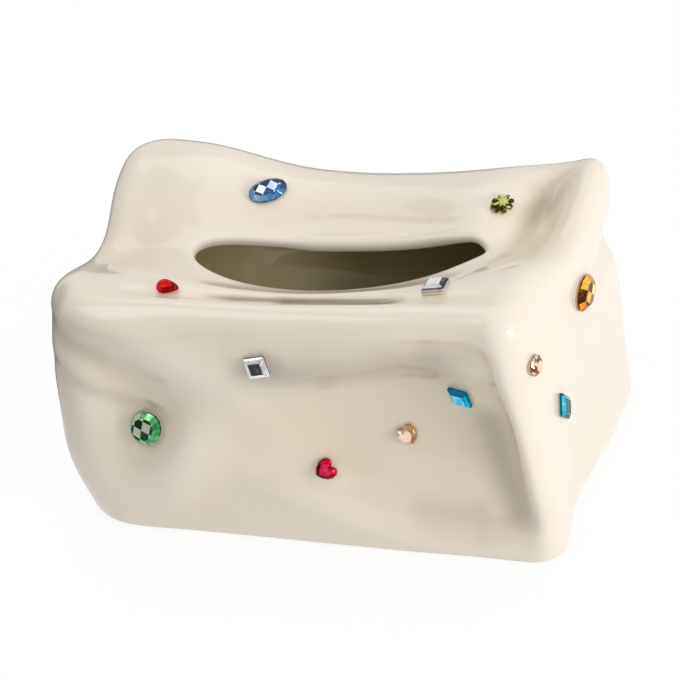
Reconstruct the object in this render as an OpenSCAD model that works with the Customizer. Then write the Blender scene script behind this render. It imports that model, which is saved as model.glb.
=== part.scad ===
// Tissue box cover: one hand-shaped ceramic shell, open underneath, that drops
// over a box of tissues. Sheets come up through the long oval slot in the top.
// Cut acrylic stones with mirror foil backs are glued on, each on its own bed.

/* [Shell] */
// Length of the body over its side walls
cover_length = 242; // [200:1:290]
// Depth of the body over its front and back walls
cover_depth = 146; // [125:1:180]
// Height of the rim at the front right corner
cover_height = 134; // [115:1:160]
// Thickness of the ceramic wall
wall_thickness = 6; // [4:0.5:8]
// Radius of the shoulder between the walls and the top
shoulder_radius = 15; // [10:0.5:16]
// Radius under the foot edge
foot_radius = 2.5; // [1:0.5:4]
// Reach of the deepest hand-made fold
fold_depth = 16; // [8:0.5:20]

/* [Corners seen from above] */
// Corner radius at the back right
back_right_radius = 17; // [16.5:0.5:30]
// Corner radius at the back left
back_left_radius = 26; // [17:0.5:40]
// Corner radius at the front left
front_left_radius = 34; // [17:0.5:45]
// Corner radius at the front right
front_right_radius = 17; // [16.5:0.5:30]

/* [Slot] */
// Clear length of the slot
slot_length = 145; // [110:1:160]
// Clear width of the slot
slot_width = 38; // [28:1:50]
// How far both ends of the slot lie behind its middle
slot_bend = 10.5; // [0:0.5:12]
// Angle of the slot to the front
slot_turn = 3; // [0:0.5:10]
// Distance of the slot to the right of the middle
slot_right = 8; // [0:0.5:12]
// Distance of the slot in front of the middle
slot_forward = 9; // [4:0.5:12]

/* [Stones] */
// Long diameter of the large oval stones
oval_length = 21; // [14:0.5:24]
// Short diameter of the large oval stones
oval_width = 16; // [10:0.5:20]
// Long diameter of the slim oval stone
slim_oval_length = 19.5; // [14:0.5:24]
// Short diameter of the slim oval stone
slim_oval_width = 12.5; // [10:0.5:20]
// Side of the square stones
square_side = 10.5; // [8:0.5:14]
// Width and height of the heart stones
heart_size = 10.5; // [8:0.5:15]
// Long diagonal of the rhombus stones
rhombus_length = 15.5; // [12:0.5:20]
// Short diagonal of the rhombus stones
rhombus_width = 11; // [8:0.5:15]
// Long diagonal of the rhombus stone on the right wall
side_rhombus_length = 19; // [12:0.5:22]
// Short diagonal of the rhombus stone on the right wall
side_rhombus_width = 12; // [8:0.5:15]
// Length of the pear stone
pear_length = 11; // [9:0.5:16]
// Width of the pear stone
pear_width = 6.5; // [5:0.5:12]
// Diameter of the round stone
round_diameter = 10; // [7:0.5:14]
// Length of the flower stone
flower_length = 13; // [9:0.5:15]
// Width of the flower stone
flower_width = 9.5; // [7:0.5:13]
// Height of the large oval stones
oval_height = 3.6; // [2.6:0.1:6]
// Square facets across the chequer cut of the large oval stones
chequer_cells = 4; // [3:1:6]
// Height of the smaller stones
small_height = 2.5; // [2:0.1:5]
// Height of the upright edge of every stone
girdle_height = 0.8; // [0.5:0.1:1.6]
// Thickness of the mirror foil
foil_thickness = 0.3; // [0.2:0.05:0.6]
// Least thickness of the glue under a foil
glue_thickness = 0.4; // [0.3:0.05:0.8]

/* [Hidden] */

half_length = cover_length / 2;
half_depth = cover_depth / 2;
// Clearance that keeps a glue bed off the facets of the shell
glue_gap = 0.15;

// Corners run back right, back left, front left, front right.
corner_radii = [back_right_radius, back_left_radius, front_left_radius, front_right_radius];
// Height of the rim at each corner, as shares of the cover height
rim_shares = [1.045, 1.052, 0.978, 1];
// Where each corner leans, as shares of the fold depth: [right, back] at the
// foot, at half height and at the rim
lean_shares = [
    [[0.19, 0], [0.25, 0], [0.38, 0]],
    [[0, 0], [-0.25, 0], [-0.25, 0.19]],
    [[-0.69, 0], [-0.94, 0], [-0.19, 0]],
    [[0.12, -0.12], [-0.19, -0.06], [-0.38, 0.12]]
];
// Sag of the back rim between its corners, as a share of the fold depth
back_sag_share = 1.38;

// Folds: [place along, place up, reach along, reach up, turn, depth, crispness].
// Places and reaches are shares of the half length or half depth and of the
// height, and depth is a share of the fold depth, pushed in where positive.
front_fold_shares = [
    [0.55, 0.42, 0.58, 0.33, -12, 0.82, 5],     // scoop on the right
    [0.68, 0.62, 0.43, 0.29, 14, 0.52, 4],      // deeper part of the scoop
    [0.00, 0.46, 0.30, 0.20, 0, 0.30, 2.5],     // run into the scoop
    [0.42, 0.84, 0.48, 0.07, 0, 0.34, 3],       // hollow under the front rim
    [-0.40, 0.42, 0.75, 0.32, 0, 0.16, 3],      // wall drawn in above the foot
    [-0.68, 0.47, 0.19, 0.18, -20, 0.56, 2],    // hollow round the green stone
    [-0.76, 0.71, 0.28, 0.11, -30, 0.36, 2],    // slanting valley, left
    [-0.50, 0.81, 0.28, 0.09, -30, -0.26, 2],   // rib above the valley
    [-0.54, 0.33, 0.26, 0.11, 52, -0.50, 2]     // rib between hollow and scoop
];
right_fold_shares = [
    [0.83, 0.70, 0.31, 0.075, 0, 0.44, 2],      // neck under the back right lobe
    [-0.35, 0, 0.44, 0.31, 0, 0.38, 2]          // foot line drawn in
];
back_fold_shares = [
    [0.35, 0.50, 0.40, 0.28, 10, 0.50, 2],
    [-0.45, 0.55, 0.30, 0.25, -15, 0.40, 2],
    [0, 0.16, 0.80, 0.10, 0, 0.20, 2]
];
left_fold_shares = [
    [-0.81, 0.22, 0.47, 0.18, 0, -0.25, 2],     // belly of the front left corner
    [0.08, 0.88, 0.36, 0.15, 0, 0.31, 2],       // waist of the left rim
    [0.30, 0.40, 0.35, 0.22, 10, 0.30, 2]
];
// Rises of the top, with places as shares of the half length and half depth
top_fold_shares = [
    [0.02, -0.03, 0.77, 0.58, 2, -1.19, 4],     // dish around the slot
    [-0.62, 0.81, 0.28, 0.31, 0, 0.50, 2],      // lobe at the back left
    [-0.90, -0.08, 0.27, 0.42, -10, -0.88, 2],  // saddle of the left rim
    [0.80, 0.38, 0.09, 0.44, -14, -0.75, 2],    // valley beside the right rim
    [0.78, 0.50, 0.13, 0.26, -10, -0.40, 2],    // pit at the back of that valley
    [0.93, 0.17, 0.17, 0.39, 0, -0.70, 2],      // sag of the right rim
    [0.00, -0.70, 0.56, 0.065, 1, -0.50, 2]     // crease in front of the slot
];

// Shares of the half depth or half length where the folds of a face fade in
front_reach_shares = [0.45, 0.95];
side_reach_shares = [0.55, 0.97];
// Shares of the half length where the front folds end against the right ridge,
// and how much sooner they end at the top, where the ridge is wider
ridge_shares = [0.87, 0.97];
ridge_lean_share = 0.11;
// How far past the walls the slopes of the top go on, as a share
spill_share = 1.2;

// Shares of a quarter's way round where its corner starts and ends
corner_start_share = 0.36;
corner_end_share = 0.64;
// Shares of the profile, from the foot to the slot, where each stretch ends
foot_end_share = 0.03;
wall_end_share = 0.5;
shoulder_end_share = 0.66;
// Facets along both sides of each quarter, round a corner, and up the profile
side_facets = [[6, 8], [8, 6], [6, 14], [16, 8]];
corner_facets = 7;
foot_facets = 3;
wall_facets = 14;
shoulder_facets = 6;
top_facets = 9;
lip_facets = 4;
// Columns on either side over which the inner skin is evened out
even_columns = 2;

function between(low, high, x) = max(low, min(high, x));
function ease(low, high, x) =
    let (t = between(0, 1, (x - low) / (high - low))) t * t * (3 - 2 * t);
function reached(shares, x) = ease(shares[0], shares[1], x);
function total(list) = len(list) == 0 ? 0 : [for (i = list) 1] * list;
function unit(v) = v / norm(v);
function mix(a, b, t) = a + (b - a) * t;

// Depth of one fold at a place on a face that is scaled by two half sizes
function fold_at(f, x, y, sx, sy) =
    let (
        p = x - f[0] * sx,
        q = y - f[1] * sy,
        u = (p * cos(f[4]) + q * sin(f[4])) / (f[2] * sx),
        v = (q * cos(f[4]) - p * sin(f[4])) / (f[3] * sy)
    ) fold_depth * f[5] * exp(-pow(u * u + v * v, f[6] / 2));
function folds(list, x, y, sx, sy) = total([for (f = list) fold_at(f, x, y, sx, sy)]);

// Rounded rectangle seen from above: [x, y, normal x, normal y] at 0 to 4 round
function plan(around) =
    let (
        w = (around + 4) % 4,
        k = floor(w),
        f = w - k,
        r = corner_radii[k],
        a = k % 2 == 0 ? half_length : half_depth,
        b = k % 2 == 0 ? half_depth : half_length,
        angle = 90 * between(0, 1, (f - corner_start_share) / (corner_end_share - corner_start_share)),
        p = f < corner_start_share ? a
            : f > corner_end_share ? (1 - f) / (1 - corner_end_share) * (a - r)
            : a - r + r * cos(angle),
        q = f < corner_start_share ? f / corner_start_share * (b - r)
            : f > corner_end_share ? b
            : b - r + r * sin(angle),
        c = cos(90 * k),
        s = sin(90 * k)
    ) [c * p - s * q, s * p + c * q, cos(angle + 90 * k), sin(angle + 90 * k)];

function weights(s, t) =
    [(1 + s) * (1 + t) / 4, (1 - s) * (1 + t) / 4, (1 - s) * (1 - t) / 4, (1 + s) * (1 - t) / 4];
function through(three, h) =
    three[0] * (1 - h) * (1 - 2 * h) + three[1] * 4 * h * (1 - h) + three[2] * h * (2 * h - 1);

// Height of the top over a point
function top_at(x, y) =
    let (
        s = between(-spill_share, spill_share, x / half_length),
        t = between(-spill_share, spill_share, y / half_depth)
    )
    cover_height * (weights(s, t) * rim_shares)
    - fold_depth * back_sag_share * between(0, 1, 1 - s * s) * pow(between(0, 1, t), 2)
    + folds(top_fold_shares, x, y, half_length, half_depth);

// Outer skin: around runs 0 to 4, up runs 0 at the foot to 1 at the slot
function skin(around, up) =
    let (
        edge = plan(around),
        low = 90 * between(0, 1, up / foot_end_share),
        h = between(0, 1, (up - foot_end_share) / (wall_end_share - foot_end_share)),
        high = 90 * between(0, 1, (up - wall_end_share) / (shoulder_end_share - wall_end_share)),
        k = between(0, 1, (up - shoulder_end_share) / (1 - shoulder_end_share)),
        inset = foot_radius * (1 - sin(low)) + shoulder_radius * (1 - cos(high)),
        x0 = edge[0] - inset * edge[2],
        y0 = edge[1] - inset * edge[3],
        lean = fold_depth * (weights(x0 / half_length, y0 / half_depth)
            * [for (c = lean_shares) through(c, h)]),
        turn = atan2(edge[1] / half_depth, edge[0] / half_length),
        ex = (slot_length + wall_thickness) / 2 * cos(turn),
        ey = (slot_width + wall_thickness) / 2 * sin(turn) + slot_bend * pow(cos(turn), 2),
        x = mix(x0 + lean[0], slot_right + ex * cos(slot_turn) - ey * sin(slot_turn), k),
        y = mix(y0 + lean[1], -slot_forward + ex * sin(slot_turn) + ey * cos(slot_turn), k),
        top = top_at(x, y),
        z = up < wall_end_share
            ? foot_radius * (1 - cos(low)) + h * (top - shoulder_radius - foot_radius)
            : top - shoulder_radius * (1 - sin(high)),
        s = x / half_length,
        t = y / half_depth,
        fade = pow(1 - k, 2),
        ridge = reached(ridge_shares, s + ridge_lean_share * between(0, 1, z / cover_height)),
        front = fade * reached(front_reach_shares, -t) * (1 - ridge),
        back = fade * reached(front_reach_shares, t),
        right = fade * reached(side_reach_shares, s),
        left = fade * reached(side_reach_shares, -s)
    ) [
        x + (left > 0 ? left * folds(left_fold_shares, y, z, half_depth, cover_height) : 0)
          - (right > 0 ? right * folds(right_fold_shares, y, z, half_depth, cover_height) : 0),
        y + (front > 0 ? front * folds(front_fold_shares, x, z, half_length, cover_height) : 0)
          - (back > 0 ? back * folds(back_fold_shares, x, z, half_length, cover_height) : 0),
        z
    ];

stations = [for (k = [0:3]) each concat(
    [for (i = [0:side_facets[k][0] - 1]) k + corner_start_share * i / side_facets[k][0]],
    [for (i = [0:corner_facets - 1])
        k + mix(corner_start_share, corner_end_share, i / corner_facets)],
    [for (i = [0:side_facets[k][1] - 1])
        k + mix(corner_end_share, 1, i / side_facets[k][1])])];
levels = concat(
    [for (i = [0:foot_facets - 1]) foot_end_share * i / foot_facets],
    [for (i = [0:wall_facets - 1]) mix(foot_end_share, wall_end_share, i / wall_facets)],
    [for (i = [0:shoulder_facets - 1])
        mix(wall_end_share, shoulder_end_share, i / shoulder_facets)],
    [for (i = [0:top_facets]) mix(shoulder_end_share, 1, i / top_facets)]);
columns = len(stations);
last = len(levels) - 1;
outer = [for (v = levels) [for (w = stations) skin(w, v)]];
normals = [for (j = [0:last]) [for (i = [0:columns - 1])
    unit(cross(
        outer[j][(i + 1) % columns] - outer[j][(i + columns - 1) % columns],
        outer[min(j + 1, last)][i] - outer[max(j - 1, 0)][i]))]];

// Rounded lip of the slot, from the outer skin over to the inner skin
function lip_ring(step) = [for (i = [0:columns - 1])
    let (
        n = normals[last][i],
        run = outer[last][i] - outer[last - 1][i],
        inward = unit(run - (run * n) * n),
        angle = 180 * step / lip_facets
    ) outer[last][i] + wall_thickness / 2 * ((cos(angle) - 1) * n + sin(angle) * inward)];
function inner_ring(j) =
    let (raw = [for (i = [0:columns - 1]) outer[j][i] - wall_thickness * normals[j][i]])
    [for (i = [0:columns - 1])
        total([for (k = [-even_columns:even_columns]) raw[(i + k + columns) % columns]])
        / (2 * even_columns + 1)];
inner_foot = [for (p = inner_ring(foot_facets)) [p[0], p[1], 0]];
rings = concat(
    outer,
    [for (step = [1:lip_facets - 1]) lip_ring(step)],
    [for (j = [last:-2:foot_facets + 1]) inner_ring(j)],
    [inner_foot]);

// Closed skin over rings of equal length, whose last ring meets the first
module wrapped(rings) {
    n = len(rings[0]);
    m = len(rings);
    polyhedron(
        points = [for (ring = rings) each ring],
        faces = [for (j = [0:m - 1]) each [for (i = [0:n - 1]) each
            let (a = j * n + i, b = j * n + (i + 1) % n,
                 c = (j + 1) % m * n + (i + 1) % n, d = (j + 1) % m * n + i)
            [[a, d, c], [a, c, b]]]],
        convexity = 10);
}

// Closed skin over rings that starts and ends in a point
module capped(foot, rings, tip) {
    n = len(rings[0]);
    m = len(rings);
    polyhedron(
        points = concat([foot], [for (ring = rings) each ring], [tip]),
        faces = concat(
            [for (i = [0:n - 1]) [0, 1 + i, 1 + (i + 1) % n]],
            [for (j = [0:m - 2]) each [for (i = [0:n - 1]) each
                let (a = 1 + j * n + i, b = 1 + j * n + (i + 1) % n,
                     c = 1 + (j + 1) * n + (i + 1) % n, d = 1 + (j + 1) * n + i)
                [[a, d, c], [a, c, b]]]],
            [for (i = [0:n - 1]) [1 + m * n, 1 + (m - 1) * n + (i + 1) % n, 1 + (m - 1) * n + i]]),
        convexity = 6);
}

// Point of the faceted shell between its stations and levels
function facet_point(around, up) =
    let (
        w = (around + 4) % 4,
        v = between(0, 1, up),
        i = len([for (s = stations) if (s <= w) 1]) - 1,
        j = min(last - 1, len([for (s = levels) if (s <= v) 1]) - 1),
        i2 = (i + 1) % columns,
        end = i2 == 0 ? 4 : stations[i2],
        p = (w - stations[i]) / (end - stations[i]),
        q = (v - levels[j]) / (levels[j + 1] - levels[j])
    ) mix(mix(outer[j][i], outer[j][i2], p), mix(outer[j + 1][i], outer[j + 1][i2], p), q);

// How the skin runs at a place, for one whole turn and for one whole profile
probe_share = 0.004;
function run_around(around, up) =
    (skin(around + probe_share, up) - skin(around - probe_share, up)) / (2 * probe_share);
function run_up(around, up) =
    (skin(around, up + probe_share) - skin(around, up - probe_share)) / (2 * probe_share);
// Seat of a stone: [place, along, up, out, share round, share up] on the shell
function seat(around, up, turn) =
    let (
        level = unit(run_around(around, up)),
        out = unit(cross(level, run_up(around, up))),
        rise = cross(out, level)
    ) [facet_point(around, up), level * cos(turn) + rise * sin(turn),
       rise * cos(turn) - level * sin(turn), out, around, up];
// Shell point under a place of the stone's own plane, in the stone's own axes,
// found in a few steps from a first guess of [share round, share up]
search_steps = 4;
function under(seat, place) = searched(seat, place, [seat[4], seat[5]], search_steps);
function searched(seat, place, guess, steps) =
    let (
        p = facet_point(guess[0], guess[1]) - seat[0],
        found = [p * seat[1], p * seat[2], p * seat[3]]
    ) steps == 0 ? found : let (
        along = run_around(guess[0], guess[1]),
        upward = run_up(guess[0], guess[1]),
        a = along * seat[1], b = upward * seat[1],
        c = along * seat[2], d = upward * seat[2],
        x = place[0] - found[0], y = place[1] - found[1]
    ) searched(seat, place, guess + [x * d - y * b, y * a - x * c] / (a * d - b * c), steps - 1);
// Height of the foil's back over the seat, so that the glue is never too thin
function lift(seat, outline) =
    glue_gap + glue_thickness + max(concat([0], [for (p = outline) under(seat, p)[2]]));

// Outlines of the stones, counter-clockwise round their middle
function oval_outline(length, width, n = 14) =
    [for (i = [0:n - 1]) [length / 2 * cos(360 * i / n), width / 2 * sin(360 * i / n)]];
blunt_share = 0.08;
function square_outline(length, width) =
    let (a = length / 2, b = width / 2, e = blunt_share * min(length, width) / 2)
    [[a, e - b], [a, 0], [a, b - e], [a - e, b], [0, b], [e - a, b], [-a, b - e], [-a, 0],
     [-a, e - b], [e - a, -b], [0, -b], [a - e, -b]];
function rhombus_outline(length, width) =
    let (a = length / 2, b = width / 2, e = blunt_share)
    [[a * (1 - e), -b * e], [a * (1 - e), b * e], [a / 2, b / 2], [a * e, b * (1 - e)],
     [-a * e, b * (1 - e)], [-a / 2, b / 2], [-a * (1 - e), b * e], [-a * (1 - e), -b * e],
     [-a / 2, -b / 2], [-a * e, -b * (1 - e)], [a * e, -b * (1 - e)], [a / 2, -b / 2]];
// Pear that points along its length
pear_taper_share = 0.42;
pear_swell_share = 1.06;
function pear_outline(length, width, n = 14) =
    [for (i = [0:n - 1]) let (t = 360 * i / n, swell = pear_swell_share * (1 - pear_taper_share * cos(t)))
        [length / 2 * cos(t), width / 2 * sin(t) * swell]];
// Heart whose notch is up: half of it by hand, as shares of half its size
heart_shares = [[0, 0.58], [0.22, 0.80], [0.55, 0.88], [0.88, 0.66], [1, 0.24],
    [0.90, -0.22], [0.54, -0.68], [0, -1]];
function heart_outline(length, width) =
    let (m = len(heart_shares), half = [for (p = heart_shares) [p[0] * width / 2, p[1] * length / 2]])
    concat([for (i = [m - 1:-1:0]) half[i]], [for (i = [1:m - 2]) [-half[i][0], half[i][1]]]);
petals = 8;
petal_corners = 3;
petal_share = 0.62;
function flower_outline(length, width) =
    let (n = petals * petal_corners)
    [for (i = [0:n - 1]) let (t = 360 * i / n, r = i % petal_corners == 0 ? petal_share : 1)
        [length / 2 * r * cos(t), width / 2 * r * sin(t)]];

function scaled(outline, share, z, shift = 0) =
    let (n = len(outline)) [for (i = [0:n - 1])
        let (p = mix(outline[i], outline[(i + 1) % n], shift) * share) [p[0], p[1], z]];

// Cut stone on its flat back: upright girdle, crown facets and a table. Each
// step of the crown is [share of the outline, share of the height].
step_cut_shares = [[0.88, 0.40], [0.64, 0.90], [0.58, 1]];
star_cut_shares = [[0.80, 0.62], [0.52, 1]];
bevel_cut_shares = [[0.56, 1]];
function cut_rings(outline, height, crown, stagger) = concat(
    [scaled(outline, 1, 0), scaled(outline, 1, girdle_height)],
    [for (i = [0:len(crown) - 1])
        scaled(outline, crown[i][0], mix(girdle_height, height, crown[i][1]), stagger * (i + 1) % 1)],
    [[[0, 0, height]]]);
// How much wider than the stone its glue and its dome's grid are, as a share
squeeze_share = 1.04;
// Fall of the chequered dome at the stone's long end, as a share of its height
dome_fall_share = 0.34;
// Dome of flat square facets, wide enough for an oval stone that lies across it
module chequered_dome(length, width, height, cells) {
    pitch = sqrt((length * length + width * width) / 2) * squeeze_share / cells;
    across = cells + 1;
    m = across * across;
    grid = [for (j = [0:cells]) each [for (i = [0:cells])
        let (x = (i - cells / 2) * pitch, y = (j - cells / 2) * pitch,
             middle = cells % 2 * pitch * pitch / 2,
             fall = (x * x + y * y - middle) / (length * length / 4))
        [x, y, height * (1 - dome_fall_share * fall)]]];
    polyhedron(
        points = concat(grid, [for (p = grid) [p[0], p[1], -height]]),
        faces = concat(
            [for (j = [0:cells - 1]) each [for (i = [0:cells - 1]) each
                let (a = j * across + i, b = a + 1, c = a + across + 1, d = a + across)
                [[a, d, c, b], [a + m, b + m, c + m, d + m]]]],
            [for (i = [0:cells - 1]) each
                let (a = i, b = i + 1, c = cells * across + i, d = c + 1,
                     e = i * across, f = e + across, g = e + cells, h = f + cells)
                [[a, b, b + m, a + m], [d, c, c + m, d + m],
                 [f, e, e + m, f + m], [g, h, h + m, g + m]]]),
        convexity = 4);
}
// How much taller than its dome a trimmed crown starts out, as a share
trim_share = 1.12;
// Cut stone, whose crown is trimmed by a chequered dome if it has cells
module cut_stone(outline, height, crown, stagger, cells) {
    rough = cells > 0 ? height * trim_share : height;
    rings = cut_rings(outline, rough, crown, stagger);
    size = [for (k = [0, 1]) 2 * max([for (p = outline) p[k]])];
    intersection() {
        capped([0, 0, 0], [for (i = [0:len(rings) - 2]) rings[i]], [0, 0, rough]);
        if (cells > 0) rotate(45) chequered_dome(size[0], size[1], height, cells);
    }
}
// Glue between the foil's back and the shell, squeezed out a little all round
module glue_bed(seat, outline) {
    top = lift(seat, outline);
    edge = [for (p = outline) p * squeeze_share];
    feet = [for (p = edge) under(seat, p) + [0, 0, glue_gap]];
    capped(
        under(seat, [0, 0]) + [0, 0, glue_gap],
        [feet, [for (p = outline) [p[0], p[1], top]]],
        [0, 0, top]);
}
// Sets its children on the shell, with their own z along the surface's normal
module seated(seat, height = 0) {
    multmatrix([
        [seat[1][0], seat[2][0], seat[3][0], seat[0][0]],
        [seat[1][1], seat[2][1], seat[3][1], seat[0][1]],
        [seat[1][2], seat[2][2], seat[3][2], seat[0][2]],
        [0, 0, 0, 1]])
        translate([0, 0, height]) children();
}

// A stone is [seat, outline, height, crown, stagger, cells of its chequer].
module stone(s) {
    seated(s[0], lift(s[0], s[1]) + foil_thickness) cut_stone(s[1], s[2], s[3], s[4], s[5]);
}
module foil(s) {
    seated(s[0], lift(s[0], s[1])) linear_extrude(foil_thickness) polygon(s[1]);
}
module glue(s) {
    seated(s[0]) glue_bed(s[0], s[1]);
}
// Corners of a stone where it stands on the shell
function reach(s) =
    let (seat = s[0], low = lift(seat, s[1]) + foil_thickness)
    [for (ring = cut_rings(s[1], s[2], s[3], s[4])) each
        [for (p = ring) seat[0] + seat[1] * p[0] + seat[2] * p[1] + seat[3] * (low + p[2])]];

oval = oval_outline(oval_length, oval_width);
square = square_outline(square_side, square_side);
heart = heart_outline(heart_size, heart_size);
rhombus = rhombus_outline(rhombus_length, rhombus_width);
pear = pear_outline(pear_length, pear_width);
disc = oval_outline(round_diameter, round_diameter, 12);
flower = flower_outline(flower_length, flower_width);
slim_oval = oval_outline(slim_oval_length, slim_oval_width);
side_rhombus = rhombus_outline(side_rhombus_length, side_rhombus_width);

// The stones, each on its seat by share round, share up the profile and turn
blue_oval = [seat(1.202, 0.831, 35), slim_oval, oval_height, bevel_cut_shares, 0, chequer_cells];
red_pear = [seat(2.719, 0.766, 3), pear, small_height, star_cut_shares, 0.5, 0];
olive_flower = [seat(0.494, 0.864, 72), flower, small_height, star_cut_shares, 0, 0];
clear_square_top = [seat(3.306, 0.799, -2), square, small_height, step_cut_shares, 0, 0];
clear_square_front = [seat(2.986, 0.449, 9), square, small_height, step_cut_shares, 0, 0];
green_oval = [seat(2.727, 0.259, 33), oval, oval_height, bevel_cut_shares, 0, chequer_cells];
red_heart = [seat(3.057, 0.184, -67), heart, small_height, step_cut_shares, 0, 0];
peach_heart = [seat(3.193, 0.252, 33), heart, small_height, step_cut_shares, 0, 0];
cyan_rhombus = [seat(3.290, 0.346, 131), rhombus, small_height, step_cut_shares, 0, 0];
peach_round = [seat(3.619, 0.438, 0), disc, small_height, star_cut_shares, 0.5, 0];
amber_oval = [seat(0.056, 0.430, 174), oval, oval_height, bevel_cut_shares, 0, chequer_cells];
teal_rhombus = [seat(3.775, 0.277, 103), side_rhombus, small_height, step_cut_shares, 0, 0];
violet_oval = [seat(1.300, 0.300, 20), oval, oval_height, bevel_cut_shares, 0, chequer_cells];
clear_square_back = [seat(1.040, 0.220, 15), square, small_height, step_cut_shares, 0, 0];
rose_heart = [seat(0.800, 0.330, -20), heart, small_height, step_cut_shares, 0, 0];
aqua_rhombus = [seat(2.050, 0.240, 60), rhombus, small_height, step_cut_shares, 0, 0];
amber_round = [seat(1.880, 0.360, 0), disc, small_height, star_cut_shares, 0.5, 0];
stones = [blue_oval, red_pear, olive_flower, clear_square_top, clear_square_front, green_oval,
    red_heart, peach_heart, cyan_rhombus, peach_round, amber_oval, teal_rhombus, violet_oval,
    clear_square_back, rose_heart, aqua_rhombus, amber_round];

// Moves everything so that the middle of the whole cover's box stands on zero
every_point = concat([for (ring = outer) each ring], [for (s = stones) each reach(s)]);
xs = [for (p = every_point) p[0]];
ys = [for (p = every_point) p[1]];
module centred() {
    translate([-(min(xs) + max(xs)) / 2, -(min(ys) + max(ys)) / 2, 0]) children();
}

module cover_shell() {
    color("antiquewhite") centred() wrapped(rings);
}
module stone_blue_oval() {
    color("steelblue") centred() stone(blue_oval);
}
module foil_blue_oval() {
    color("silver") centred() foil(blue_oval);
}
module glue_blue_oval() {
    color("lavender") centred() glue(blue_oval);
}
module stone_red_pear() {
    color("red") centred() stone(red_pear);
}
module foil_red_pear() {
    color("silver") centred() foil(red_pear);
}
module glue_red_pear() {
    color("lavender") centred() glue(red_pear);
}
module stone_olive_flower() {
    color("olivedrab") centred() stone(olive_flower);
}
module foil_olive_flower() {
    color("silver") centred() foil(olive_flower);
}
module glue_olive_flower() {
    color("lavender") centred() glue(olive_flower);
}
module stone_clear_square_top() {
    color("white") centred() stone(clear_square_top);
}
module foil_clear_square_top() {
    color("silver") centred() foil(clear_square_top);
}
module glue_clear_square_top() {
    color("lavender") centred() glue(clear_square_top);
}
module stone_clear_square_front() {
    color("white") centred() stone(clear_square_front);
}
module foil_clear_square_front() {
    color("silver") centred() foil(clear_square_front);
}
module glue_clear_square_front() {
    color("lavender") centred() glue(clear_square_front);
}
module stone_green_oval() {
    color("seagreen") centred() stone(green_oval);
}
module foil_green_oval() {
    color("silver") centred() foil(green_oval);
}
module glue_green_oval() {
    color("lavender") centred() glue(green_oval);
}
module stone_red_heart() {
    color("crimson") centred() stone(red_heart);
}
module foil_red_heart() {
    color("silver") centred() foil(red_heart);
}
module glue_red_heart() {
    color("lavender") centred() glue(red_heart);
}
module stone_peach_heart() {
    color("peachpuff") centred() stone(peach_heart);
}
module foil_peach_heart() {
    color("silver") centred() foil(peach_heart);
}
module glue_peach_heart() {
    color("lavender") centred() glue(peach_heart);
}
module stone_cyan_rhombus() {
    color("deepskyblue") centred() stone(cyan_rhombus);
}
module foil_cyan_rhombus() {
    color("silver") centred() foil(cyan_rhombus);
}
module glue_cyan_rhombus() {
    color("lavender") centred() glue(cyan_rhombus);
}
module stone_peach_round() {
    color("peachpuff") centred() stone(peach_round);
}
module foil_peach_round() {
    color("silver") centred() foil(peach_round);
}
module glue_peach_round() {
    color("lavender") centred() glue(peach_round);
}
module stone_amber_oval() {
    color("orange") centred() stone(amber_oval);
}
module foil_amber_oval() {
    color("silver") centred() foil(amber_oval);
}
module glue_amber_oval() {
    color("lavender") centred() glue(amber_oval);
}
module stone_teal_rhombus() {
    color("teal") centred() stone(teal_rhombus);
}
module foil_teal_rhombus() {
    color("silver") centred() foil(teal_rhombus);
}
module glue_teal_rhombus() {
    color("lavender") centred() glue(teal_rhombus);
}
module stone_violet_oval() {
    color("mediumpurple") centred() stone(violet_oval);
}
module foil_violet_oval() {
    color("silver") centred() foil(violet_oval);
}
module glue_violet_oval() {
    color("lavender") centred() glue(violet_oval);
}
module stone_clear_square_back() {
    color("white") centred() stone(clear_square_back);
}
module foil_clear_square_back() {
    color("silver") centred() foil(clear_square_back);
}
module glue_clear_square_back() {
    color("lavender") centred() glue(clear_square_back);
}
module stone_rose_heart() {
    color("hotpink") centred() stone(rose_heart);
}
module foil_rose_heart() {
    color("silver") centred() foil(rose_heart);
}
module glue_rose_heart() {
    color("lavender") centred() glue(rose_heart);
}
module stone_aqua_rhombus() {
    color("turquoise") centred() stone(aqua_rhombus);
}
module foil_aqua_rhombus() {
    color("silver") centred() foil(aqua_rhombus);
}
module glue_aqua_rhombus() {
    color("lavender") centred() glue(aqua_rhombus);
}
module stone_amber_round() {
    color("orange") centred() stone(amber_round);
}
module foil_amber_round() {
    color("silver") centred() foil(amber_round);
}
module glue_amber_round() {
    color("lavender") centred() glue(amber_round);
}

cover_shell();
stone_blue_oval();
foil_blue_oval();
glue_blue_oval();
stone_red_pear();
foil_red_pear();
glue_red_pear();
stone_olive_flower();
foil_olive_flower();
glue_olive_flower();
stone_clear_square_top();
foil_clear_square_top();
glue_clear_square_top();
stone_clear_square_front();
foil_clear_square_front();
glue_clear_square_front();
stone_green_oval();
foil_green_oval();
glue_green_oval();
stone_red_heart();
foil_red_heart();
glue_red_heart();
stone_peach_heart();
foil_peach_heart();
glue_peach_heart();
stone_cyan_rhombus();
foil_cyan_rhombus();
glue_cyan_rhombus();
stone_peach_round();
foil_peach_round();
glue_peach_round();
stone_amber_oval();
foil_amber_oval();
glue_amber_oval();
stone_teal_rhombus();
foil_teal_rhombus();
glue_teal_rhombus();
stone_violet_oval();
foil_violet_oval();
glue_violet_oval();
stone_clear_square_back();
foil_clear_square_back();
glue_clear_square_back();
stone_rose_heart();
foil_rose_heart();
glue_rose_heart();
stone_aqua_rhombus();
foil_aqua_rhombus();
glue_aqua_rhombus();
stone_amber_round();
foil_amber_round();
glue_amber_round();
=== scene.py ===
"""Looks of a tissue box cover: glazed, hand-shaped ceramic with glued-on cut stones."""

from __future__ import annotations

import logging
import math
from dataclasses import dataclass
from enum import Enum, auto
from typing import Any, ClassVar

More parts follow.
